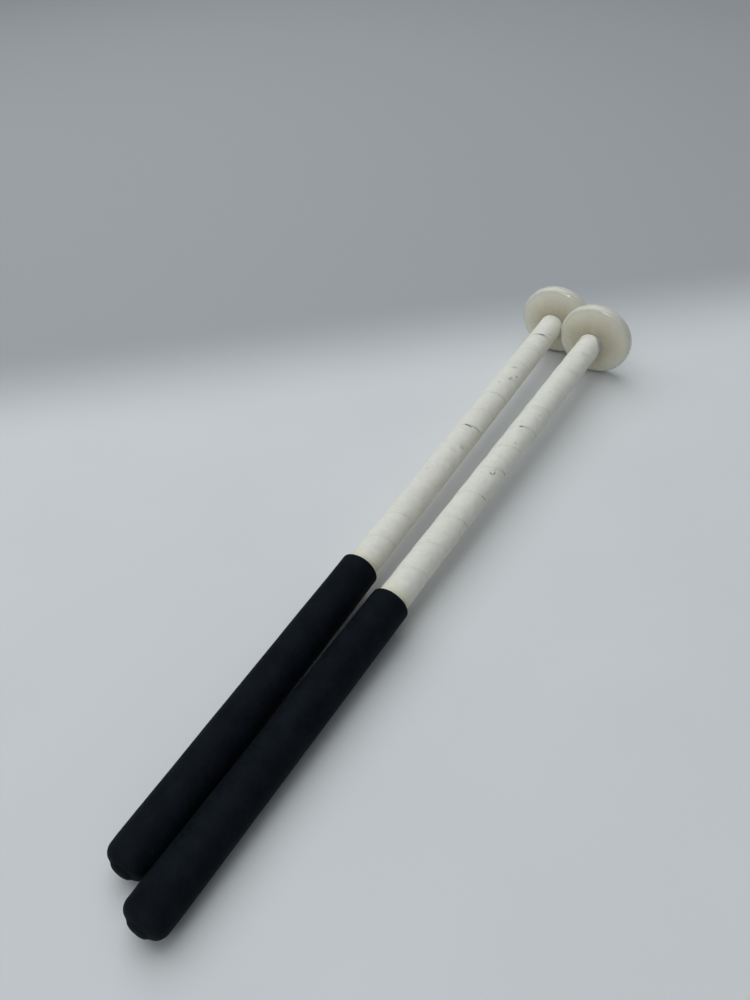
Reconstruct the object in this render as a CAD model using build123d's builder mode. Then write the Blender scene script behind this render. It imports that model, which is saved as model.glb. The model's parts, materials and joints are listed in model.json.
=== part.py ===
"""Pair of marching tenor-drum mallets lying side by side on a flat surface.

Each mallet is an aluminium tube with a nylon striking disc screwed onto its head end, a
helical wrap of cloth tape on the bare part of the tube and a closed rubber sleeve as grip.
The left mallet lies a little further forward. The right head is tucked in behind the left
head, so that the two mallets share one small patch of table.

Frame: +Y runs from the grips to the heads, +X to the right, +Z up. The origin is on the
table, under the centre of the pair's bounding box. Lengths are in millimetres.

Every piece is round about its mallet's own axis. "Station" is the distance along that axis
from the shoulder plane of the butt, growing towards the head.
"""

import os
from math import asin, atan2, cos, degrees, pi, sin, sqrt, tan

from build123d import *

# --- Whole mallet -------------------------------------------------------------------------
MALLET_LENGTH = 345.0  # from the butt's shoulder plane to the striking face

# --- How the two mallets lie together (about 0.3 mm is left wherever they nearly touch) ----
BUTT_SPACING = 16.2  # between the two axes at the butts, where grip lies against grip
HEAD_SPACING = 25.6  # between the two axes at the discs, where rim lies against shaft
RIGHT_SETBACK = 9.75  # how far the right mallet lies behind the left one

# --- Tube ---------------------------------------------------------------------------------
TUBE_RADIUS = 6.0
TUBE_WALL = 1.0
TUBE_EDGE = 0.2  # deburred edges of the tube's ends

# --- Striking disc ------------------------------------------------------------------------
DISC_RADIUS = 19.05
DISC_RIM = 5.3  # thickness between the two faces where they would meet the rim
DISC_CROWN = 5.0  # how far the domed back rises from rim to centre
DISC_EDGE = 2.6  # rounding of both rim edges
SOCKET_DEPTH = 3.6  # how deep the tube sits in the back of the disc
HEAD_RECESS_RADIUS = 5.5
HEAD_RECESS_DEPTH = 4.0
SCREW_HOLE_RADIUS = 2.75

# --- M5 button-head screw, washer and threaded insert -------------------------------------
THREAD_RADIUS = 2.5
TAPPED_RADIUS = 2.1
THREAD_CHAMFER = 0.5
SCREW_LENGTH = 16.0
SCREW_HEAD_RADIUS = 4.75
SCREW_HEAD_HEIGHT = 2.75
SCREW_HEAD_FLAT = 2.1  # radius of the small flat on top of the domed head
SCREW_HEAD_LIP = 0.4  # straight edge under the dome
HEX_ACROSS_FLATS = 3.0
HEX_DEPTH = 1.8
WASHER_RADIUS = 5.0
WASHER_HOLE_RADIUS = 2.65
WASHER_THICKNESS = 1.0
INSERT_LENGTH = 15.0

# --- Rubber grip --------------------------------------------------------------------------
GRIP_RADIUS = 8.05
GRIP_LENGTH = 136.0
GRIP_MOUTH_EDGE = 0.4
BUTT_SHOULDER = 4.1  # station at which the rounded shoulder begins
BUTT_SHOULDER_END = (0.3, 4.9)  # station and radius at which it ends
BUTT_NECK = (0.05, 4.15)  # shallow neck around the centre button
BUTT_NECK_FILLET = 0.5
BUTT_BUTTON = (-1.1, 3.75)  # rim of the centre button
BUTT_BUTTON_FILLET = 0.8
BUTT_TIP = -1.3  # station of the button's crown
BUTT_WALL = 4.5  # rubber between the shoulder plane and the tube's plug

# --- End plug in the tube -----------------------------------------------------------------
PLUG_FLANGE = 1.5
PLUG_LENGTH = 12.0  # the part inside the tube
PLUG_CHAMFER = 0.8

# --- Tape ---------------------------------------------------------------------------------
TAPE_THICKNESS = 0.15
TAPE_END_GAP = 0.3  # left open against the grip and against the disc

# --- Stations worked out from the sizes above ---------------------------------------------
TUBE_START = BUTT_WALL + PLUG_FLANGE
DISC_BACK = MALLET_LENGTH - DISC_RIM - DISC_CROWN
TUBE_END = DISC_BACK + SOCKET_DEPTH
BORE_RADIUS = TUBE_RADIUS - TUBE_WALL
RECESS_FLOOR = MALLET_LENGTH - HEAD_RECESS_DEPTH
SCREW_SEAT = RECESS_FLOOR + WASHER_THICKNESS
CROWN_RADIUS = (DISC_RADIUS**2 + DISC_CROWN**2) / (2 * DISC_CROWN)
TAPE_RADIUS = TUBE_RADIUS + TAPE_THICKNESS
DISC_BACK_AT_TAPE = DISC_BACK + CROWN_RADIUS - sqrt(CROWN_RADIUS**2 - TAPE_RADIUS**2)

# --- How the pair lies --------------------------------------------------------------------
# A mallet touches the table at the start of its grip's shoulder and at the back edge of the
# disc's cylindrical rim, so its axis climbs towards the head. The rounding of that edge is
# tangent to the rim and to the crown, which meet at more than a right angle.
CROWN_SLOPE = asin(DISC_RADIUS / CROWN_RADIUS)
RIM_CONTACT = MALLET_LENGTH - DISC_RIM + DISC_EDGE * tan((pi / 2 - CROWN_SLOPE) / 2)
TILT = atan2(DISC_RADIUS - GRIP_RADIUS, RIM_CONTACT - BUTT_SHOULDER)
BUTT_HEIGHT = GRIP_RADIUS * cos(TILT) - BUTT_SHOULDER * sin(TILT)

# The mallets part towards the heads by the angle SPREAD.
SPREAD = asin((HEAD_SPACING - BUTT_SPACING) / (RIM_CONTACT * cos(TILT)))

# Along Y the pair reaches from the right mallet's button to the left striking face.
FORWARD = cos(TILT) * cos(SPREAD / 2)
FACE_REACH = MALLET_LENGTH * FORWARD + (DISC_RADIUS - DISC_EDGE) * sqrt(1 - FORWARD**2)
RIGHT_BUTT_Y = -(RIGHT_SETBACK + FACE_REACH + BUTT_TIP * FORWARD) / 2
LEFT_BUTT_Y = RIGHT_BUTT_Y + RIGHT_SETBACK


def shaft_plane(side):
    """Plane whose local X is the mallet's axis and whose local Y is the radius.

    side is -1 for the left mallet and +1 for the right one.
    """
    yaw = side * SPREAD / 2
    along = (sin(yaw) * cos(TILT), cos(yaw) * cos(TILT), sin(TILT))
    sideways = (cos(yaw), -sin(yaw), 0)
    butt_y = LEFT_BUTT_Y if side < 0 else RIGHT_BUTT_Y
    butt = (side * BUTT_SPACING / 2, butt_y, BUTT_HEIGHT)
    return Plane(origin=butt, x_dir=along, z_dir=sideways)


def across(plane, station):
    """Plane square to the mallet's axis at a station, facing the head."""
    centre = plane.from_local_coords((station, 0, 0))
    return Plane(origin=centre, x_dir=plane.z_dir, z_dir=plane.x_dir)


def axis_of(plane):
    """The mallet's own axis, from butt to head."""
    return Axis(plane.origin, plane.x_dir)


def make_shaft_tube(plane):
    with BuildPart() as shaft_tube:
        with BuildSketch(across(plane, TUBE_START)):
            Circle(TUBE_RADIUS)
            Circle(BORE_RADIUS, mode=Mode.SUBTRACT)
        extrude(amount=TUBE_END - TUBE_START)
        chamfer(shaft_tube.edges().filter_by(GeomType.CIRCLE), TUBE_EDGE)
    return shaft_tube.part


def make_head_disc(plane):
    """Nylon disc: flat striking face, domed back with a socket for the tube."""
    rim_back = MALLET_LENGTH - DISC_RIM
    half = DISC_RADIUS / 2
    crown_at_half = DISC_BACK + CROWN_RADIUS - sqrt(CROWN_RADIUS**2 - half**2)
    with BuildPart() as head_disc:
        with BuildSketch(plane):
            with BuildLine():
                ThreePointArc((DISC_BACK, 0), (crown_at_half, half), (rim_back, DISC_RADIUS))
                Polyline(
                    (rim_back, DISC_RADIUS),
                    (MALLET_LENGTH, DISC_RADIUS),
                    (MALLET_LENGTH, 0),
                    (DISC_BACK, 0),
                )
            make_face()
        revolve(axis=axis_of(plane))
        rim = head_disc.faces().filter_by(GeomType.CYLINDER)[0]
        fillet(rim.edges().filter_by(GeomType.CIRCLE), DISC_EDGE)
        with BuildSketch(across(plane, TUBE_END)):
            Circle(TUBE_RADIUS)
        extrude(amount=-2 * SOCKET_DEPTH, mode=Mode.SUBTRACT)
        with BuildSketch(across(plane, RECESS_FLOOR)):
            Circle(HEAD_RECESS_RADIUS)
        extrude(amount=HEAD_RECESS_DEPTH, mode=Mode.SUBTRACT)
        with BuildSketch(across(plane, TUBE_END)):
            Circle(SCREW_HOLE_RADIUS)
        extrude(amount=RECESS_FLOOR - TUBE_END, mode=Mode.SUBTRACT)
    return head_disc.part


def make_head_insert(plane):
    """Threaded plug fixed in the head end of the tube, which the screw bites into."""
    with BuildPart() as head_insert:
        with BuildSketch(across(plane, TUBE_END)):
            Circle(BORE_RADIUS)
        extrude(amount=-INSERT_LENGTH)
        chamfer(head_insert.edges().filter_by(GeomType.CIRCLE), TUBE_EDGE)
        with BuildSketch(across(plane, TUBE_END)):
            Circle(TAPPED_RADIUS)
        extrude(amount=-INSERT_LENGTH, mode=Mode.SUBTRACT)
    return head_insert.part


def make_head_screw(plane):
    """Button-head screw with a hexagon socket, its head inside the disc's recess."""
    shank_end = SCREW_SEAT - SCREW_LENGTH
    head_top = SCREW_SEAT + SCREW_HEAD_HEIGHT
    dome_height = SCREW_HEAD_HEIGHT - SCREW_HEAD_LIP
    dome_middle = (
        SCREW_SEAT + SCREW_HEAD_LIP + 0.72 * dome_height,
        SCREW_HEAD_FLAT + 0.56 * (SCREW_HEAD_RADIUS - SCREW_HEAD_FLAT),
    )
    with BuildPart() as head_screw:
        with BuildSketch(plane):
            with BuildLine():
                Polyline(
                    (head_top, SCREW_HEAD_FLAT),
                    (head_top, 0),
                    (shank_end, 0),
                    (shank_end, THREAD_RADIUS - THREAD_CHAMFER),
                    (shank_end + THREAD_CHAMFER, THREAD_RADIUS),
                    (SCREW_SEAT, THREAD_RADIUS),
                    (SCREW_SEAT, SCREW_HEAD_RADIUS),
                    (SCREW_SEAT + SCREW_HEAD_LIP, SCREW_HEAD_RADIUS),
                )
                ThreePointArc(
                    (SCREW_SEAT + SCREW_HEAD_LIP, SCREW_HEAD_RADIUS),
                    dome_middle,
                    (head_top, SCREW_HEAD_FLAT),
                )
            make_face()
        revolve(axis=axis_of(plane))
        with BuildSketch(across(plane, head_top)):
            RegularPolygon(HEX_ACROSS_FLATS / 2, 6, major_radius=False)
        extrude(amount=-HEX_DEPTH, mode=Mode.SUBTRACT)
    return head_screw.part


def make_head_washer(plane):
    with BuildPart() as head_washer:
        with BuildSketch(across(plane, RECESS_FLOOR)):
            Circle(WASHER_RADIUS)
            Circle(WASHER_HOLE_RADIUS, mode=Mode.SUBTRACT)
        extrude(amount=WASHER_THICKNESS)
    return head_washer.part


def make_shaft_tape(plane):
    """Cloth tape on the bare tube, as a plain sleeve of its mean thickness."""
    start = GRIP_LENGTH + TAPE_END_GAP
    end = DISC_BACK_AT_TAPE - TAPE_END_GAP
    with BuildPart() as shaft_tape:
        with BuildSketch(across(plane, start)):
            Circle(TAPE_RADIUS)
            Circle(TUBE_RADIUS, mode=Mode.SUBTRACT)
        extrude(amount=end - start)
    return shaft_tape.part


def make_grip_sleeve(plane):
    """Rubber sleeve, closed at the butt, with a low button in the middle of its end."""
    with BuildPart() as grip_sleeve:
        with BuildSketch(plane):
            with BuildLine():
                outside = Line((GRIP_LENGTH, GRIP_RADIUS), (BUTT_SHOULDER, GRIP_RADIUS))
                shoulder = TangentArc(outside @ 1, BUTT_SHOULDER_END, tangent=outside % 1)
                butt_end = FilletPolyline(
                    shoulder @ 1,
                    BUTT_NECK,
                    BUTT_BUTTON,
                    (BUTT_TIP, 0),
                    radius=[BUTT_NECK_FILLET, BUTT_BUTTON_FILLET],
                )
                Polyline(
                    butt_end @ 1,
                    (BUTT_WALL, 0),
                    (BUTT_WALL, TUBE_RADIUS),
                    (GRIP_LENGTH, TUBE_RADIUS),
                    outside @ 0,
                )
            make_face()
        revolve(axis=axis_of(plane))
        mouth = grip_sleeve.faces().filter_by(GeomType.PLANE).sort_by(axis_of(plane))[-1]
        fillet(mouth.outer_wire().edges(), GRIP_MOUTH_EDGE)
    return grip_sleeve.part


def make_tube_end_plug(plane):
    """Plastic plug that keeps the tube's cut edge from punching through the rubber."""
    with BuildPart() as tube_end_plug:
        with BuildSketch(across(plane, BUTT_WALL)):
            Circle(TUBE_RADIUS)
        extrude(amount=PLUG_FLANGE)
        with BuildSketch(across(plane, TUBE_START)):
            Circle(BORE_RADIUS)
        extrude(amount=PLUG_LENGTH)
        tip = tube_end_plug.faces().filter_by(GeomType.PLANE).sort_by(axis_of(plane))[-1]
        chamfer(tip.edges(), PLUG_CHAMFER)
    return tube_end_plug.part


MAKERS = {
    "shaft_tube": make_shaft_tube,
    "head_disc": make_head_disc,
    "head_insert": make_head_insert,
    "head_screw": make_head_screw,
    "head_washer": make_head_washer,
    "shaft_tape": make_shaft_tape,
    "grip_sleeve": make_grip_sleeve,
    "tube_end_plug": make_tube_end_plug,
}

os.makedirs("parts", exist_ok=True)
pair = []
for side_name, side in (("left", -1), ("right", 1)):
    mallet_plane = shaft_plane(side)
    for piece_name, make_piece in MAKERS.items():
        piece = make_piece(mallet_plane)
        piece.label = f"{side_name}_{piece_name}"
        export_step(piece, f"parts/{piece.label}.step")
        pair.append(piece)

print("tilt", degrees(TILT), "spread", degrees(SPREAD))
print("box", Compound(children=pair).bounding_box())
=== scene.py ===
"""Looks for the pair of marching tenor-drum mallets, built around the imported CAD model.

Each mallet keeps its CAD tube, disc, insert, screw, washer and end plug, with new materials.
The plain tape sleeve is replaced by a strip of cloth wound round the tube turn by turn, and
the plain grip by a worn rubber sleeve. Lengths are in metres; MM turns millimetres into them.

On a mallet, "station" is the distance along its axis from the shoulder plane of the butt, and
"angle" is measured round the axis from straight up, growing towards +X.
"""

import json
from math import atan, ceil, cos, degrees, hypot, pi, radians, sin

import bpy
from mathutils import Matrix, Vector, noise


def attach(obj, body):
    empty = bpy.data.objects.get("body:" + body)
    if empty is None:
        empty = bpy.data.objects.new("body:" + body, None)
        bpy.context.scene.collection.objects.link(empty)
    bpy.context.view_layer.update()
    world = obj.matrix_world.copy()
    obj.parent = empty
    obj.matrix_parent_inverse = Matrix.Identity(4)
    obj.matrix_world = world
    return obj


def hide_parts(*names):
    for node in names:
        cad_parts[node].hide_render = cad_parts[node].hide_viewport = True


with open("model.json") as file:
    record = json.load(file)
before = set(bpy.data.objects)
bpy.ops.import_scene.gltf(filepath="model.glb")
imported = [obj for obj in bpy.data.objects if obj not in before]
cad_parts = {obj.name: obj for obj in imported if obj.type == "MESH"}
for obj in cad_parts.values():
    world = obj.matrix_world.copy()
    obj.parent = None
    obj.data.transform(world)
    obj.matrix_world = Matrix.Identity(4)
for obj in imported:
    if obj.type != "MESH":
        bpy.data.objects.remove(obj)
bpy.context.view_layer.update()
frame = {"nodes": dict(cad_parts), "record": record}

MM = 0.001
TURN = 2 * pi
SIDES = ("left", "right")

# --- Mallet, as the CAD has it ------------------------------------------------------------
GRIP_HOLD_STATION = 68.0 * MM  # the station of the mounts left_grip_hold and right_grip_hold
TUBE_RADIUS = 6.0 * MM

# --- Tape ---------------------------------------------------------------------------------
TAPE_WIDTH = 25.0 * MM
TAPE_THICKNESS = 0.14 * MM
TAPE_CLEARANCE = 0.01 * MM  # between the tube and the inside of the cloth
THREAD_SPACING = 0.42  # millimetres between neighbouring threads of the weave
EDGE_THINNING = 0.07 * MM  # how much thinner the pressed-down open edge is
EDGE_THINNED = 0.6 * MM  # how far in from the open edge the thinning reaches
EDGE_WANDER = 0.12 * MM  # how far the open edge wanders off its line
EDGE_FRAY = 0.05 * MM  # the finer part of that
STEP_DOWN = (-4.0 * MM, 2.5 * MM)  # where the cloth comes down past the end of the turn below
TAPE_SEGMENTS = 84  # rows of the strip in one turn
NARROWEST_ROW = 0.05 * MM  # rows cut off narrower than this are left out
FAR_FROM_LAP = 9.0  # millimetres to the next lap, for cloth that lies under it
# Where the strip's points lie across its width, as shares, closest together at the open edge.
TAPE_COLUMNS = [0.0, 0.006, 0.02, 0.045, 0.08, 0.12]
TAPE_COLUMNS += [0.17 + 0.05 * i for i in range(12)] + [0.78, 0.85, 0.92, 1.0]
# Where each turn's open edge crosses the top of the shaft, in millimetres. The first ones
# would be under the grip, and the strip is cut off at the grip's mouth.
LAPS = {
    "left": [110.5, 122.5, 136.0, 149.6, 164.6, 177.0, 190.0, 203.0, 216.4, 229.8, 243.6]
    + [257.5, 271.6, 285.8, 300.2, 314.2, 328.2, 342.0],
    "right": [101.5, 118.0, 134.5, 150.6, 165.6, 182.4, 199.3, 217.3, 233.8, 249.4, 266.0]
    + [282.8, 299.6, 316.2, 332.6, 349.0],
}
# Places where the open edge has come away from the turn below it: lap number in LAPS,
# angle (degrees) of the middle, half width round the shaft (degrees), lift and reach back.
LIFTS = {
    "left": [(9, 42, 62, 0.26 * MM, 2.6 * MM), (15, 24, 36, 0.24 * MM, 2.2 * MM)],
    "right": [(9, 12, 16, 0.22 * MM, 1.6 * MM), (7, 30, 14, 0.24 * MM, 1.8 * MM)]
    + [(14, -48, 26, 0.16 * MM, 2.0 * MM)],
}
# How far the cloth stands off where it isn't pulled down tight, on each of three scales: half
# the height of the waves, and their length along the shaft.
BROAD_SWELL, BROAD_WAVE = 0.070 * MM, 8 * MM
NARROW_SWELL, NARROW_WAVE = 0.032 * MM, 2.6 * MM
CRUMPLE_SWELL, CRUMPLE_WAVE = 0.022 * MM, 1.5 * MM
TIGHT_FROM, TIGHT_TO = 304 * MM, 320 * MM  # the cloth grows tighter here, towards the head
TIGHT_SHARE = 0.68
# The cut at the head. It is nearly square on the left mallet. On the right one it runs back
# along the +X side, between the angles (degrees) where it sets off and where it has returned.
TAPE_END_GAP = 0.05 * MM
SQUARE_CUT_WANDER = 0.25 * MM
OBLIQUE_CUT_WANDER = 0.12 * MM
OBLIQUE_CUT = 4.9 * MM
OBLIQUE_OUT = (2, 84)
OBLIQUE_BACK = (150, 215)
# Marks on the cloth, each with its station (mm), angle (degrees), length along the shaft,
# width round it (mm), slant and darkness. Those at the lifted lap edges and the tear are
# painted shadow in the gaps there; the others are scuffs and smudges.
MARKS = {
    "left": [
        (229.9, 14, 0.62, 3.6, 0.05, 0.9),
        (231.2, 46, 0.45, 5.5, 0.42, 0.26),
        (315.3, 20, 0.50, 3.4, 0.45, 0.95),
        (314.3, -8, 0.35, 4.0, 0.15, 0.5),
        (318.6, 42, 0.40, 3.2, 1.35, 0.45),
        (212.0, 26, 3.0, 2.8, 0.2, 0.10),
        (216.6, 49, 2.4, 2.7, 0.3, 0.22),
        (267.0, -2, 0.8, 0.9, 0.0, 0.45),
        (273.0, 30, 3.0, 1.5, 0.5, 0.3),
        (281.5, 12, 1.4, 3.0, 0.4, 0.3),
        (277.0, 48, 2.0, 1.2, 0.2, 0.35),
    ],
    "right": [
        (249.1, 6, 0.7, 1.7, 0.2, 0.9),
        (249.7, 17, 0.35, 3.4, 0.3, 0.4),
        (214.6, 27, 0.55, 1.9, 0.0, 0.85),
        (215.9, 37, 2.0, 0.6, 0.3, 0.75),
        (217.3, 31, 0.45, 1.0, 0.2, 0.5),
        (221.0, 68, 0.5, 4.5, 0.3, 0.45),
        (202.3, 66, 0.5, 3.5, 0.25, 0.45),
        (238.0, 30, 1.2, 1.1, 0.3, 0.3),
        (262.0, 40, 1.0, 1.6, 0.3, 0.25),
    ],
}

# --- Grip ---------------------------------------------------------------------------------
BUTT_WALL = 4.5 * MM  # the station of the bore's closed end
BUTT_SHOULDER = 4.1 * MM  # where the butt's curve has reached the grip's full radius
MOUTH_EDGE = 0.4 * MM  # radius of the rounding at the mouth
MOUTH_LIP = 0.5 * MM  # height above the tube at which the mouth's face turns in to the bore
BORE_CLEARANCE = 0.02 * MM
# Station and radius, in millimetres, of the low button, its soft neck and the shoulder.
BUTT_CURVE = [(-1.10, 2.5), (-0.76, 3.5), (-0.25, 4.18), (0.10, 4.75), (0.40, 5.5)]
BUTT_CURVE += [(0.95, 6.5), (2.2, 7.55)]
BUTT_STEPS = 4  # faces between two points of the butt's curve
GRIP_SEGMENTS = 144
GRIP_ROW = 0.9 * MM  # length of a face along the sleeve
BORE_ROWS = 12
# How far the rubber has sunk: half the depth and the length along the sleeve of the dents.
BROAD_WEAR, BROAD_DENT = 0.075 * MM, 16 * MM
TWIST_WEAR, TWIST_DENT = 0.03 * MM, 6 * MM
BUTT_WEAR, BUTT_DENT = 0.10 * MM, 2.5 * MM
BUTT_WORN = (2 * MM, 9 * MM)  # the extra wear at the butt fades out between these stations

# --- Camera -------------------------------------------------------------------------------
CAMERA_PLACE = Vector((126.2, -214.5, 249.8)) * MM
CAMERA_YAW = 34.61  # degrees to the left of +Y
CAMERA_PITCH = 41.47  # degrees below the horizon
CAMERA_ROLL = 4.18  # degrees, clockwise as seen by the camera
CAMERA_LENS = 29.72  # with a 36 mm sensor on the long side
CAMERA_SENSOR = 36.0
CAMERA_NEAREST = 10 * MM

# --- Floor and light ----------------------------------------------------------------------
FLOOR_REACH = 3.0
FLOOR_BEHIND = Vector((-0.653, 0.757, 0))  # the way in which the painted shade on the floor grows darker
FLOOR_SHADE = (118 * MM, 215 * MM)  # how far that way the painted shade starts and ends
LAMP_TINT = (0.91, 0.97, 1.0)
LAMP_DISTANCE = 1.6
LAMP_TARGET = Vector((0, 50, 0)) * MM
GLINT_WIDTH = 0.07
SKY_TINT = (0.88, 0.95, 1.0)
SKY_STRENGTH = 0.16


def mount_named(name):
    return next(m for m in frame["record"]["mounts"] if m["name"] == name)


class Mallet:
    """Axis and directions of one mallet, taken from its grip mount and its CAD nodes."""

    def __init__(self, side):
        mount = mount_named(f"{side}_grip_hold")
        self.side = side
        self.body = f"{side}_mallet"
        self.axis = Vector(mount["axis"]).normalized()
        self.butt = Vector(mount["pos_m"]) - GRIP_HOLD_STATION * self.axis
        upright = Vector((0, 0, 1))
        self.up = (upright - upright.dot(self.axis) * self.axis).normalized()
        self.right = self.axis.cross(self.up)

    def point(self, station, radius, angle):
        outward = cos(angle) * self.up + sin(angle) * self.right
        return self.butt + station * self.axis + radius * outward

    def stations(self, piece):
        """The lowest and highest station of one of this mallet's CAD nodes."""
        vertices = frame["nodes"][f"{self.side}_{piece}"].data.vertices
        along = [(v.co - self.butt).dot(self.axis) for v in vertices]
        return min(along), max(along)

    def radius(self, piece):
        """The largest radius of one of this mallet's CAD nodes."""
        vertices = frame["nodes"][f"{self.side}_{piece}"].data.vertices
        return max(((v.co - self.butt).cross(self.axis)).length for v in vertices)


def smooth_step(low, high, value):
    share = min(1.0, max(0.0, (value - low) / (high - low)))
    return share * share * (3 - 2 * share)


def rough(seed, *place):
    """Smooth noise from -1 to 1 at a place given in its own grain sizes."""
    x, y, z = (*place, 0.0, 0.0)[:3]
    return noise.noise(Vector((x + 17.3 * seed, y - 9.1 * seed, z + 5.7 * seed)))


def on_ring(angle, size):
    """A place for rough() on a ring of that size, so that a full turn ends where it began."""
    return size * cos(angle), size * sin(angle)


def between(values, place):
    """Catmull-Rom curve through evenly spaced values."""
    index = min(max(int(place), 1), len(values) - 3)
    share = place - index
    before, start, end, after = values[index - 1 : index + 3]
    slope_in = (end - before) / 2
    slope_out = (after - start) / 2
    cubic = 2 * start - 2 * end + slope_in + slope_out
    square = -3 * start + 3 * end - 2 * slope_in - slope_out
    return ((cubic * share + square) * share + slope_in) * share + start


def new_piece(name, points, faces, attributes=None, sharp=40):
    """A smooth-shaded mesh object with its sharp edges marked and its point attributes set."""
    mesh = bpy.data.meshes.new(name)
    mesh.from_pydata(points, [], faces)
    mesh.polygons.foreach_set("use_smooth", [True] * len(mesh.polygons))
    mesh.set_sharp_from_angle(angle=radians(sharp))
    for key, values in (attributes or {}).items():
        mesh.attributes.new(key, "FLOAT", "POINT").data.foreach_set("value", values)
    mesh.update()
    piece = bpy.data.objects.new(name, mesh)
    bpy.context.scene.collection.objects.link(piece)
    return piece


# ==========================================================================================
# Materials
# ==========================================================================================
class Net:
    """One material and the nodes that feed its Principled shader."""

    def __init__(self, name):
        self.material = bpy.data.materials.new(name)
        self.material.use_nodes = True
        self.tree = self.material.node_tree
        self.shader = self.tree.nodes["Principled BSDF"]

    def join(self, socket, value):
        if isinstance(value, bpy.types.NodeSocket):
            self.tree.links.new(value, socket)
        else:
            socket.default_value = value

    def add(self, kind, inputs=None, **settings):
        node = self.tree.nodes.new(kind)
        for key, value in settings.items():
            setattr(node, key, value)
        for key, value in (inputs or {}).items():
            self.join(node.inputs[key], value)
        return node

    def set(self, **sockets):
        """Feeds the shader: Base_Color stands for Base Color."""
        for key, value in sockets.items():
            self.join(self.shader.inputs[key.replace("_", " ")], value)

    def math(self, operation, first, second=0.0):
        return self.add("ShaderNodeMath", {0: first, 1: second}, operation=operation).outputs[0]

    def times(self, first, second):
        return self.math("MULTIPLY", first, second)

    def total(self, *values):
        result = values[0]
        for value in values[1:]:
            result = self.math("ADD", result, value)
        return result

    def vector_math(self, operation, *values, result="Vector"):
        inputs = dict(enumerate(values))
        return self.add("ShaderNodeVectorMath", inputs, operation=operation).outputs[result]

    def place(self, scale=(1, 1, 1)):
        """The point in the object's own frame, which for every piece is the row frame."""
        where = self.add("ShaderNodeTexCoord").outputs["Object"]
        return self.add("ShaderNodeMapping", {"Vector": where, "Scale": scale}).outputs[0]

    def number(self, name):
        """A value stored on the mesh's points."""
        return self.add("ShaderNodeAttribute", attribute_name=name).outputs["Fac"]

    def grain(self, place, size, detail=2.0, roughness=0.5):
        """Noise from 0 to 1 with grains of about that size."""
        inputs = {"Vector": place, "Scale": 1 / size, "Detail": detail, "Roughness": roughness}
        return self.add("ShaderNodeTexNoise", inputs).outputs[0]

    def ramp(self, value, low, high, start=0.0, end=1.0):
        """Goes smoothly from start, where value is low, to end, where it is high."""
        inputs = {0: value, 1: low, 2: high, 3: start, 4: end}
        return self.add("ShaderNodeMapRange", inputs, interpolation_type="SMOOTHSTEP").outputs[0]

    def mix(self, share, first, second):
        """A colour between two, by share."""
        node = self.add("ShaderNodeMix", data_type="RGBA")
        self.join(node.inputs["Factor"], share)
        self.join(node.inputs["A"], first)
        self.join(node.inputs["B"], second)
        return node.outputs["Result"]

    def bump(self, height, distance, strength, normal=None):
        inputs = {"Height": height, "Distance": distance, "Strength": strength}
        if normal is not None:
            inputs["Normal"] = normal
        return self.add("ShaderNodeBump", inputs).outputs[0]


def colour(red, green, blue):
    return (red, green, blue, 1.0)


def axis_numbers(net, mallet):
    """Station and radius of the shaded point on a mallet, in metres."""
    from_butt = net.vector_math("SUBTRACT", net.place(), mallet.butt)
    station = net.vector_math("DOT_PRODUCT", from_butt, mallet.axis, result="Value")
    aside = net.vector_math("CROSS_PRODUCT", from_butt, mallet.axis)
    return station, net.vector_math("LENGTH", aside, result="Value")


def disc_material(mallet):
    """Ivory nylon: slightly translucent, satin, with turning marks, scuffs and painted shade round
    the neck.
    """
    deep_ivory, pale_ivory = colour(0.81, 0.775, 0.63), colour(0.86, 0.825, 0.695)
    painted_neck_shade = colour(0.48, 0.40, 0.25)
    grey_edge = colour(0.60, 0.60, 0.55)
    dark_speck = colour(0.34, 0.31, 0.25)
    ring_spacing = 0.35 * MM

    net = Net(f"{mallet.side}_ivory_nylon")
    place = net.place()
    _, radius = axis_numbers(net, mallet)
    body = net.mix(net.grain(place, 14 * MM, 2), deep_ivory, pale_ivory)
    # Painted shade: the colour grows darker towards the shaft round the neck, in patches.
    neck = net.ramp(radius, 5.0 * MM, 18.5 * MM, 0.85, 0.0)
    patches = net.ramp(net.grain(place, 5.0 * MM, 3), 0.2, 0.8, 0.7, 1.0)
    soil_and_shade = net.mix(net.times(neck, patches), body, painted_neck_shade)
    edge = net.ramp(radius, 16.2 * MM, 18.6 * MM, 0.0, 0.55)
    edged = net.mix(edge, soil_and_shade, grey_edge)
    specks = net.ramp(net.grain(place, 0.55 * MM, 3, 0.6), 0.73, 0.80)
    net.set(
        Base_Color=net.mix(net.times(specks, 0.35), edged, dark_speck),
        Roughness=net.ramp(net.grain(place, 3.5 * MM, 4), 0.2, 0.8, 0.22, 0.34),
        IOR=1.53,
        Subsurface_Weight=0.45,
        Subsurface_Radius=(1.0, 0.82, 0.52),
        Subsurface_Scale=3.0 * MM,
        Coat_Weight=0.6,
        Coat_Roughness=0.03,
        Specular_IOR_Level=0.2,
    )
    rings = net.math("SINE", net.times(radius, TURN / ring_spacing))
    scratches = net.grain(net.place((1, 1, 6)), 1.1 * MM, 5, 0.65)
    height = net.total(net.times(rings, 0.12), scratches)
    net.set(Normal=net.bump(height, 0.012 * MM, 0.5))
    return net.material


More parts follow.
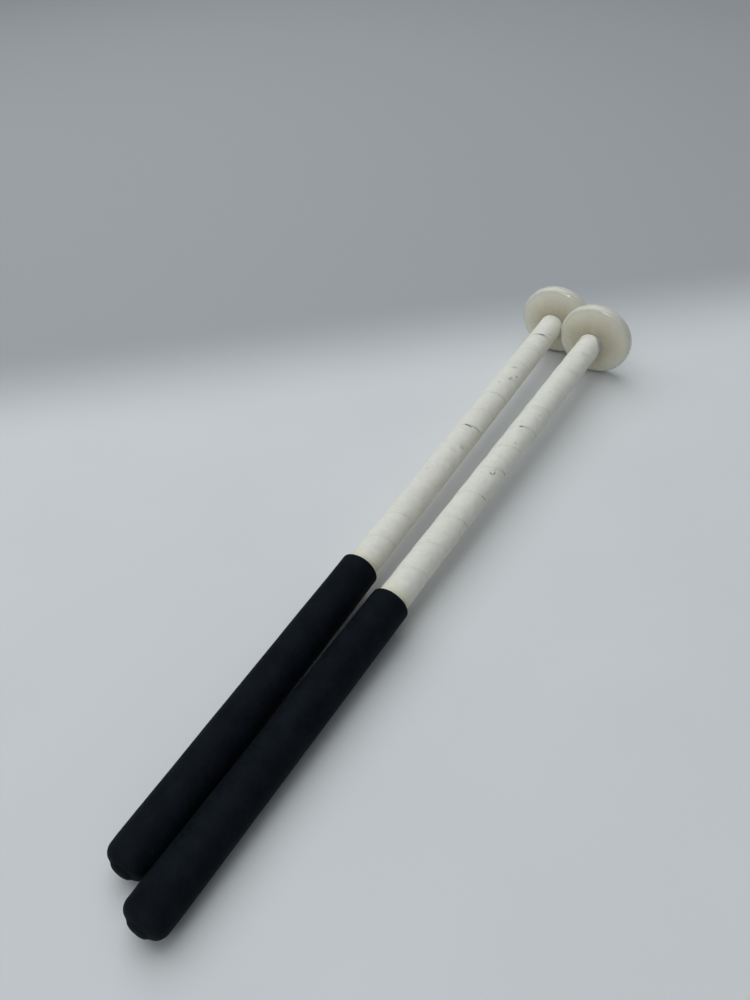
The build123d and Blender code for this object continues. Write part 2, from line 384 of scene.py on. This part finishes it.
def bare_aluminium(mallet):
    """Drawn tube: dull satin with fine lines along it, darker stains and a painted highlight in a
    band at its head end.
    """
    clean, stained = colour(0.60, 0.60, 0.61), colour(0.46, 0.46, 0.47)
    bright = colour(0.80, 0.80, 0.81)

    net = Net(f"{mallet.side}_bare_aluminium")
    place = net.place()
    station, _ = axis_numbers(net, mallet)
    _, head_end = mallet.stations("shaft_tube")
    # Painted highlight: a brighter band round the tube just before its head end.
    painted_end_highlight = net.ramp(station, head_end - 1.3 * MM, head_end - 0.7 * MM)
    lines = net.grain(net.place((1, 0.03, 1)), 0.25 * MM, 3, 0.6)
    stains = net.ramp(net.grain(place, 2.2 * MM, 4), 0.35, 0.75)
    net.set(
        Base_Color=net.mix(painted_end_highlight, net.mix(stains, clean, stained), bright),
        Metallic=0.35,
        Roughness=net.ramp(lines, 0.3, 0.7, 0.40, 0.55),
        Normal=net.bump(lines, 0.02 * MM, 0.5),
    )
    return net.material


def machined_aluminium():
    """The insert: fine rings left by the lathe."""
    grey, pale = colour(0.62, 0.62, 0.63), colour(0.72, 0.72, 0.73)

    net = Net("machined_aluminium")
    rings = net.grain(net.place((0.05, 1, 0.05)), 0.2 * MM, 2)
    net.set(
        Base_Color=net.mix(rings, grey, pale),
        Metallic=1.0,
        Roughness=net.ramp(rings, 0.3, 0.7, 0.24, 0.36),
        Normal=net.bump(rings, 0.02 * MM, 0.6),
    )
    return net.material


def zinc_steel():
    """Screw and washer: bright zinc with a faint crystalline mottle and worn, darker spots."""
    grey, pale = colour(0.50, 0.51, 0.53), colour(0.66, 0.67, 0.68)
    worn = colour(0.28, 0.27, 0.26)

    net = Net("zinc_steel")
    place = net.place()
    mottle = net.grain(place, 0.8 * MM, 4, 0.6)
    spots = net.ramp(net.grain(place, 1.7 * MM, 3), 0.55, 0.72)
    net.set(
        Base_Color=net.mix(net.times(spots, 0.6), net.mix(mottle, grey, pale), worn),
        Metallic=1.0,
        Roughness=net.ramp(mottle, 0.25, 0.75, 0.25, 0.42),
        Normal=net.bump(mottle, 0.015 * MM, 0.5),
    )
    return net.material


def plug_plastic():
    """Black moulded plug with a fine spark-eroded grain."""
    black, worn_black = colour(0.030, 0.030, 0.031), colour(0.045, 0.045, 0.046)

    net = Net("plug_plastic")
    grain = net.grain(net.place(), 0.18 * MM, 3)
    net.set(
        Base_Color=net.mix(grain, black, worn_black),
        Roughness=net.ramp(grain, 0.3, 0.7, 0.45, 0.6),
        Normal=net.bump(grain, 0.02 * MM, 0.6),
    )
    return net.material


def grip_rubber():
    """Matte black rubber with a fine grain, a slight blue cast and pale dust."""
    dark, pale = colour(0.0010, 0.0024, 0.0048), colour(0.0056, 0.0086, 0.0128)
    dust = colour(0.10, 0.11, 0.12)

    net = Net("grip_rubber")
    place = net.place()
    cloud = net.grain(place, 7 * MM, 4, 0.55)
    fine = net.grain(place, 0.32 * MM, 4, 0.65)
    coarse = net.grain(place, 1.3 * MM, 3, 0.6)
    dusty = net.ramp(net.grain(place, 0.42 * MM, 2), 0.73, 0.82)
    tone = net.total(net.times(cloud, 0.35), net.times(coarse, 0.3), net.times(fine, 0.35))
    black = net.mix(net.ramp(tone, 0.36, 0.64), dark, pale)
    coarse_bump = net.bump(coarse, 0.22 * MM, 0.7)
    net.set(
        Base_Color=net.mix(net.times(dusty, 0.2), black, dust),
        Roughness=net.ramp(coarse, 0.25, 0.75, 0.62, 0.78),
        Specular_IOR_Level=0.06,
        Normal=net.bump(fine, 0.10 * MM, 0.8, coarse_bump),
    )
    return net.material


def mark(net, station, turn, length, width, slant):
    """A soft-edged oval mark on the tape, 1 inside and 0 outside.

    station and turn place its centre, in millimetres and degrees. width runs round the shaft
    and length along it, and slant is how far it climbs along the shaft per millimetre round.
    """
    round_mm = radians(1) * TUBE_RADIUS / MM
    along = net.math("SUBTRACT", net.number("station_mm"), station)
    across = net.times(net.math("SUBTRACT", net.number("turn_deg"), turn), round_mm)
    climbed = net.math("SUBTRACT", along, net.times(across, slant))
    share_along = net.math("DIVIDE", climbed, length / 2)
    share_across = net.math("DIVIDE", across, width / 2)
    square = net.total(
        net.times(share_along, share_along),
        net.times(share_across, share_across),
    )
    return net.ramp(square, 0.5, 1.3, 1.0, 0.0)


def all_marks(net, side):
    """How dark the marks of one mallet's tape are at the shaded point."""
    dark = 0.0
    for station, turn, length, width, slant, darkness in MARKS[side]:
        spot = mark(net, station, turn, length, width, slant)
        dark = net.math("MAXIMUM", dark, net.times(spot, darkness))
    return dark


def tape_material(mallet):
    """White cotton tape: plain weave, grime and painted shade along the laps, yellowed by the
    grip.

    Painted shade also darkens the hollows of the creases, and the marks are scuffs and painted
    shadow in the gaps under lifted lap edges and in a tear.
    """
    grey_cotton, white_cotton = colour(0.80, 0.765, 0.675), colour(0.90, 0.865, 0.785)
    yellowed = colour(0.78, 0.70, 0.47)
    grime_and_lap_shade = colour(0.40, 0.40, 0.36)
    soil = colour(0.50, 0.49, 0.43)
    crease_shade = colour(0.60, 0.61, 0.55)
    scuff_and_gap_shadow = colour(0.05, 0.05, 0.045)

    net = Net(f"{mallet.side}_cloth_tape")
    place = net.place()
    station = net.number("station_mm")
    along = net.number("along_mm")
    across = net.number("across_mm")
    cloud = net.grain(place, 6 * MM, 4, 0.55)
    fine = net.grain(place, 0.5 * MM, 3, 0.6)
    cloth = net.mix(cloud, grey_cotton, white_cotton)

    mouth = mallet.stations("grip_sleeve")[1] / MM
    near_grip = net.total(station, net.times(cloud, 7.0))
    aged = net.mix(net.ramp(near_grip, mouth + 3.5, mouth + 11.0, 0.62, 0.0), cloth, yellowed)

    # Grime and painted shade along the laps, in the crevice under each lap edge and at the open
    # edge; the shade is stronger on the shaded +X side.
    lap_line = net.ramp(net.number("to_lap_mm"), 0.05, 0.75, 1.0, 0.0)
    open_edge = net.ramp(across, 0.0, 0.35, 0.55, 0.0)
    edges = net.math("MAXIMUM", lap_line, open_edge)
    patchy = net.ramp(net.grain(place, 5.0 * MM, 4), 0.35, 0.65, 0.12, 0.62)
    shaded_side = net.ramp(net.number("turn_deg"), -40.0, 50.0, 0.45, 1.0)
    lap_grime_and_shade = net.mix(net.times(edges, net.times(patchy, shaded_side)), aged, grime_and_lap_shade)

    soil_and_shade = net.ramp(net.grain(place, 4.5 * MM, 5, 0.7), 0.56, 0.75, 0.0, 0.28)
    worn = net.mix(soil_and_shade, lap_grime_and_shade, soil)

    # The creases run round the shaft, so their grain is drawn out along the strip.
    round_shaft = net.times(along, 0.28)
    cloth_place = net.add("ShaderNodeCombineXYZ", {0: round_shaft, 1: station}).outputs[0]
    creases = net.grain(cloth_place, 3.4, 4, 0.55)
    # Painted shade in the hollows of the creases, where the crease height is low.
    crease_shaded = net.mix(net.ramp(creases, 0.35, 0.65, 0.11, 0.0), worn, crease_shade)

    # The marks are scuffs and painted shadow in the gaps under lifted lap edges and in the tear.
    broken = net.times(all_marks(net, mallet.side), net.ramp(fine, 0.2, 0.45, 0.6, 1.0))
    warp = net.math("SINE", net.times(along, pi / THREAD_SPACING))
    weft = net.math("SINE", net.times(across, pi / THREAD_SPACING))
    weave = net.times(warp, weft)
    crease_bump = net.bump(creases, 1.4 * MM, 0.9)
    net.set(
        Base_Color=net.mix(broken, crease_shaded, scuff_and_gap_shadow),
        Roughness=0.92,
        Specular_IOR_Level=0.25,
        Sheen_Weight=0.15,
        Sheen_Roughness=0.5,
        Normal=net.bump(net.total(weave, fine), 0.035 * MM, 0.6, crease_bump),
    )
    return net.material


def floor_material():
    """Plain pale floor with painted shade: it grows gently darker behind the mallets, where the
    light falls off.
    """
    grey, pale = colour(0.70, 0.70, 0.70), colour(0.74, 0.74, 0.74)
    dark = colour(0.41, 0.41, 0.425)

    net = Net("pale_floor")
    place = net.place()
    soft = net.grain(place, 60 * MM, 2, 0.4)
    fine = net.grain(place, 0.9 * MM, 3, 0.6)
    # Painted shade: the floor's colour darkens behind the mallets, where the light falls off.
    behind = net.vector_math("DOT_PRODUCT", place, FLOOR_BEHIND, result="Value")
    net.set(
        Base_Color=net.mix(net.ramp(behind, *FLOOR_SHADE), net.mix(soft, grey, pale), dark),
        Roughness=0.9,
        Specular_IOR_Level=0.2,
        Normal=net.bump(fine, 0.05 * MM, 0.4),
    )
    return net.material


# ==========================================================================================
# Tape: a strip wound round the tube, each turn lapping over the one before
# ==========================================================================================
def tape_end(mallet, angle):
    """Station where the tape is cut off at the head, round the shaft."""
    last = mallet.stations("shaft_tape")[1] - TAPE_END_GAP
    if mallet.side == "left":
        return last - SQUARE_CUT_WANDER * (1 + rough(3, *on_ring(angle, 1.3)))
    turn = degrees(angle) % 360
    oblique = smooth_step(*OBLIQUE_OUT, turn) * (1 - smooth_step(*OBLIQUE_BACK, turn))
    wander = OBLIQUE_CUT_WANDER * (1 + rough(4, *on_ring(angle, 3)))
    return last - OBLIQUE_CUT * oblique - wander


def swell(mallet, station, angle):
    """How far the wound cloth stands off the tube where it is not pulled down tight."""
    seed = 1 if mallet.side == "left" else 2
    ring = on_ring(angle, 1.1)
    broad = 1 + rough(seed, station / BROAD_WAVE, *ring)
    narrow = 1 + rough(seed + 5, station / NARROW_WAVE + 1.6 * angle, *ring)
    crumple = 1 + rough(seed + 9, station / CRUMPLE_WAVE - 2.0 * angle, *on_ring(angle, 2.5))
    loose = BROAD_SWELL * broad + NARROW_SWELL * narrow + CRUMPLE_SWELL * crumple
    return loose * (1 - TIGHT_SHARE * smooth_step(TIGHT_FROM, TIGHT_TO, station))


def lifted(side, turns, across):
    """How far the open edge has come away from the turn below it."""
    height = 0.0
    for lap, middle, half, lift, reach in LIFTS[side]:
        off = abs((turns - lap) * 360 - middle) / half
        if off < 1 and across < reach:
            height += lift * (1 - across / reach) ** 2 * cos(off * pi / 2) ** 0.7
    return height


def strip_faces(rows):
    """Faces between neighbouring rows of points, and across the strip's two cut ends."""
    faces = []
    for row, following in zip(rows, rows[1:]):
        for column in range(len(row)):
            beside = (column + 1) % len(row)
            faces.append((row[column], row[beside], following[beside], following[column]))
    columns = len(TAPE_COLUMNS)
    for row, first_cap in ((rows[0], True), (rows[-1], False)):
        for column in range(columns - 1):
            other = 2 * columns - 1 - column
            cap = (row[column], row[other], row[other - 1], row[column + 1])
            faces.append(cap if first_cap else cap[::-1])
    return faces


def wind_tape(mallet):
    """The strip of cloth, wound from the grip's mouth to the cut at the head.

    turns counts the full turns since the first lap. Each row of points runs across the strip on
    its outside, from the open edge on, and back on its inside.
    """
    side = mallet.side
    laps = [station * MM for station in LAPS[side]]
    mouth_end, _ = mallet.stations("shaft_tape")
    pitch = (laps[-1] - laps[0]) / (len(laps) - 1)
    turn_length = hypot(pitch, TURN * TUBE_RADIUS)
    axial_width = TAPE_WIDTH / cos(atan(pitch / (TURN * TUBE_RADIUS)))
    outside = [(1, share) for share in TAPE_COLUMNS]
    inside = [(0, share) for share in reversed(TAPE_COLUMNS)]
    points, rows = [], []
    names = ("station_mm", "turn_deg", "along_mm", "across_mm", "to_lap_mm")
    values = {name: [] for name in names}
    for step in range(TAPE_SEGMENTS, (len(laps) - 2) * TAPE_SEGMENTS):
        turns = step / TAPE_SEGMENTS
        angle = TURN * (turns % 1)
        ragged = EDGE_WANDER * rough(7, turns * 9) + EDGE_FRAY * rough(8, turns * 60)
        edge = between(laps, turns) + ragged
        below = between(laps, turns - 1) + axial_width
        above = between(laps, turns + 1)
        low = max(edge, mouth_end)
        high = min(edge + axial_width, tape_end(mallet, angle))
        if high - low < NARROWEST_ROW:
            continue
        row = []
        for layer, share in outside + inside:
            station = low + share * (high - low)
            across = station - edge
            doubled = 1 - smooth_step(below + STEP_DOWN[0], below + STEP_DOWN[1], station)
            radius = TUBE_RADIUS + TAPE_CLEARANCE + TAPE_THICKNESS * (doubled + layer)
            radius += swell(mallet, station, angle) + lifted(side, turns, across)
            radius -= layer * EDGE_THINNING * (1 - smooth_step(0, EDGE_THINNED, across))
            row.append(len(points))
            points.append(mallet.point(station, radius, angle))
            values["station_mm"].append(station / MM)
            values["turn_deg"].append((degrees(angle) + 180) % 360 - 180)
            values["along_mm"].append(turns * turn_length / MM)
            values["across_mm"].append(across / MM)
            values["to_lap_mm"].append((above - station) / MM if above > station else FAR_FROM_LAP)
        rows.append(row)
    piece = new_piece(f"{side}_wound_tape", points, strip_faces(rows), values)
    piece.data.materials.append(tape_material(mallet))
    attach(piece, mallet.body)
    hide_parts(f"{side}_shaft_tape")


# ==========================================================================================
# Grip: a closed rubber sleeve, slightly uneven from use
# ==========================================================================================
def arc_points(centre, radius, start, end, count):
    """Points along part of a circle in (station, radius), with angles in degrees."""
    angles = [radians(start + (end - start) * i / count) for i in range(count + 1)]
    return [(centre[0] + radius * cos(a), centre[1] + radius * sin(a)) for a in angles]


def grip_profile(mallet):
    """The sleeve's outline as (station, radius), from the tip of the butt to the bore's end."""
    tip, mouth = mallet.stations("grip_sleeve")
    outer = mallet.radius("grip_sleeve")
    bore = TUBE_RADIUS + BORE_CLEARANCE
    # The curve runs from the second point to the last but one; the outer two only steer it.
    hand = [(tip, -1.2 * MM), (tip, 0.0), (tip + 0.06 * MM, 1.3 * MM)]
    hand += [(station * MM, radius * MM) for station, radius in BUTT_CURVE]
    hand += [(BUTT_SHOULDER, outer), (BUTT_SHOULDER + 3 * MM, outer)]
    stations, radii = zip(*hand)
    outline = [(tip, 0.0)]
    for step in range(1, (len(hand) - 3) * BUTT_STEPS + 1):
        place = 1 + step / BUTT_STEPS
        outline.append((max(tip, between(stations, place)), between(radii, place)))
    straight = mouth - MOUTH_EDGE - BUTT_SHOULDER
    count = ceil(straight / GRIP_ROW)
    outline += [(BUTT_SHOULDER + straight * i / count, outer) for i in range(1, count)]
    outline += arc_points((mouth - MOUTH_EDGE, outer - MOUTH_EDGE), MOUTH_EDGE, 90, 0, 5)
    outline += [(mouth, TUBE_RADIUS + MOUTH_LIP), (mouth, bore)]
    depth = mouth - BUTT_WALL
    outline += [(mouth - depth * i / BORE_ROWS, bore) for i in range(1, BORE_ROWS + 1)]
    outline.append((BUTT_WALL, 0.0))
    return outline


def wear(mallet, station, radius, angle):
    """How far the rubber has sunk at a place on its outside, and nothing in the bore."""
    if radius < TUBE_RADIUS + 0.6 * MM and station > BUTT_WALL - 0.1 * MM:
        return 0.0
    seed = 11 if mallet.side == "left" else 12
    ring = on_ring(angle, 1.2)
    broad = 1 + rough(seed, station / BROAD_DENT, *ring)
    twist = 1 + rough(seed + 4, station / TWIST_DENT + 0.9 * angle, *ring)
    lumps = 1 + rough(seed + 8, station / BUTT_DENT, *on_ring(angle, 2.6))
    at_butt = 1 - smooth_step(*BUTT_WORN, station)
    return BROAD_WEAR * broad + TWIST_WEAR * twist + BUTT_WEAR * at_butt * lumps


def grip_faces(rings):
    """Faces between neighbouring rings, where a ring of one point closes an end."""
    faces = []
    for ring, following in zip(rings, rings[1:]):
        for step in range(GRIP_SEGMENTS):
            beside = (step + 1) % GRIP_SEGMENTS
            if len(ring) == 1:
                faces.append((ring[0], following[beside], following[step]))
            elif len(following) == 1:
                faces.append((ring[step], ring[beside], following[0]))
            else:
                faces.append((ring[step], ring[beside], following[beside], following[step]))
    return faces


def make_grip(mallet, material):
    points, rings = [], []
    for station, radius in grip_profile(mallet):
        ring = []
        for step in range(GRIP_SEGMENTS if radius else 1):
            angle = TURN * step / GRIP_SEGMENTS
            sunk = wear(mallet, station, radius, angle) * min(1.0, radius / (3 * MM))
            ring.append(len(points))
            points.append(mallet.point(station, radius - sunk, angle))
        rings.append(ring)
    piece = new_piece(f"{mallet.side}_rubber_grip", points, grip_faces(rings), sharp=50)
    piece.data.materials.append(material)
    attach(piece, mallet.body)
    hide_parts(f"{mallet.side}_grip_sleeve")


# ==========================================================================================
# Floor, camera and light
# ==========================================================================================
def make_floor():
    around = ((-1, -1), (1, -1), (1, 1), (-1, 1))
    corners = [(x * FLOOR_REACH, y * FLOOR_REACH, 0) for x, y in around]
    floor = new_piece("floor", corners, [(0, 1, 2, 3)])
    floor.data.materials.append(floor_material())


def make_camera():
    yaw, pitch, roll = radians(CAMERA_YAW), radians(CAMERA_PITCH), radians(CAMERA_ROLL)
    forward = Vector((-sin(yaw) * cos(pitch), cos(yaw) * cos(pitch), -sin(pitch)))
    level_right = Vector((cos(yaw), sin(yaw), 0))
    level_down = forward.cross(level_right)
    right = cos(roll) * level_right + sin(roll) * level_down
    upward = sin(roll) * level_right - cos(roll) * level_down
    data = bpy.data.cameras.new("camera")
    data.lens = CAMERA_LENS
    data.sensor_width = CAMERA_SENSOR
    data.clip_start = CAMERA_NEAREST
    camera = bpy.data.objects.new("camera", data)
    axes = Matrix((right, upward, -forward)).transposed()
    camera.matrix_world = Matrix.Translation(CAMERA_PLACE) @ axes.to_4x4()
    bpy.context.scene.collection.objects.link(camera)
    bpy.context.scene.camera = camera


def direction(azimuth, elevation):
    """The unit vector of a compass direction in degrees: azimuth 0 is +Y and 90 is +X."""
    a, e = radians(azimuth), radians(elevation)
    return Vector((sin(a) * cos(e), cos(a) * cos(e), sin(e)))


def area_light(name, size, watts):
    data = bpy.data.lights.new(name, "AREA")
    data.shape = "RECTANGLE"
    data.size, data.size_y = size
    data.energy = watts
    data.color = LAMP_TINT
    light = bpy.data.objects.new(name, data)
    bpy.context.scene.collection.objects.link(light)
    return light


def make_lamp(name, azimuth, elevation, size, watts):
    """A soft square light in that direction from the pair, facing it."""
    toward = direction(azimuth, elevation)
    lamp = area_light(name, (size, size), watts)
    lamp.location = LAMP_TARGET + LAMP_DISTANCE * toward
    lamp.rotation_mode = "QUATERNION"
    lamp.rotation_quaternion = (-toward).to_track_quat("-Z", "Y")


def make_glint(name, first, last, watts):
    """A long light between two directions, each an (azimuth, elevation), facing the pair.

    It is seen only in reflections, and draws the bright arc along the rounded edges of the
    discs.
    """
    start, end = (LAMP_DISTANCE * direction(*aim) for aim in (first, last))
    middle = (start + end) / 2
    long_side = (end - start).normalized()
    back = (middle - middle.dot(long_side) * long_side).normalized()
    axes = Matrix((long_side, back.cross(long_side), back)).transposed()
    glint = area_light(name, ((end - start).length, GLINT_WIDTH), watts)
    glint.matrix_world = Matrix.Translation(middle) @ axes.to_4x4()
    glint.visible_diffuse = False


def make_world():
    world = bpy.data.worlds.new("studio")
    world.use_nodes = True
    background = world.node_tree.nodes["Background"]
    background.inputs["Color"].default_value = colour(*SKY_TINT)
    background.inputs["Strength"].default_value = SKY_STRENGTH
    bpy.context.scene.world = world


# ==========================================================================================
# Build
# ==========================================================================================
def dress(node, material):
    """Gives a CAD node that stays in view its finished material."""
    mesh = frame["nodes"][node].data
    mesh.materials.clear()
    mesh.materials.append(material)


rubber = grip_rubber()
steel = zinc_steel()
machined = machined_aluminium()
plastic = plug_plastic()
for side in SIDES:
    mallet = Mallet(side)
    dress(f"{side}_shaft_tube", bare_aluminium(mallet))
    dress(f"{side}_head_disc", disc_material(mallet))
    dress(f"{side}_head_insert", machined)
    dress(f"{side}_head_screw", steel)
    dress(f"{side}_head_washer", steel)
    dress(f"{side}_tube_end_plug", plastic)
    wind_tape(mallet)
    make_grip(mallet, rubber)

make_floor()
make_camera()
make_world()
make_lamp("key", azimuth=-70, elevation=67, size=1.9, watts=22.0)
make_lamp("fill", azimuth=172, elevation=44, size=0.9, watts=3.4)
make_glint("long_glint", first=(188, 42), last=(164, 35), watts=12.0)
make_glint("short_glint", first=(148, 20), last=(138, 12), watts=4.0)
bpy.context.scene.view_settings.view_transform = "Standard"
